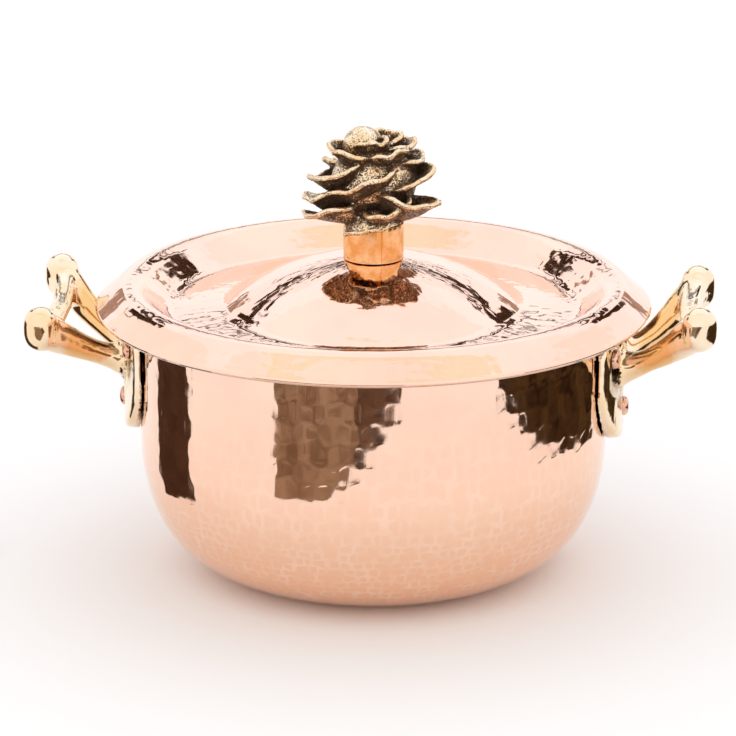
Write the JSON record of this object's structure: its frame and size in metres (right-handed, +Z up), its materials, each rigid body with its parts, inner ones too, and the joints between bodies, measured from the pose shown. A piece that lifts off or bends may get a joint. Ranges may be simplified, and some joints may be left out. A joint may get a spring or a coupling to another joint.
{
  "type": "covered serving pan",
  "caption": "Hammered copper serving pan with a lift-off lid, cast bronze stirrup handles and a cast flower knob",
  "frame": {"origin": "Centre of the pot's flat base, on the surface it stands on", "axes": "+X runs through the right handle, +Y away from the viewer of the picture, +Z up through the knob"},
  "size_m": [0.3504, 0.284, 0.233],
  "materials": {
    "hammered_copper": "hammered and polished copper",
    "wiped_tin": "hand-wiped tin",
    "cast_bronze": "polished cast bronze",
    "antiqued_bronze": "cast bronze, dark in its recesses",
    "polished_bronze": "polished sleeve",
    "copper_rivet": "hammered copper",
    "steel_fastener": "plain steel"
  },
  "bodies": {
    "pot": {"pot_shell": "hammered_copper", "pot_lining": "wiped_tin", "right_handle": "cast_bronze", "left_handle": "cast_bronze", "right_handle_rivets": "copper_rivet", "left_handle_rivets": "copper_rivet"},
    "lid": {"lid_shell": "hammered_copper", "lid_lining": "wiped_tin", "finial_stem": "polished_bronze", "finial_flower": "antiqued_bronze", "finial_screw": "steel_fastener", "finial_washer": "steel_fastener"}
  },
  "joints": [
    {"name": "lid_lift", "type": "slide", "parent": "pot", "child": "lid", "axis": [0, 0, 1], "range_m": [0, 0.15]}
  ]
}
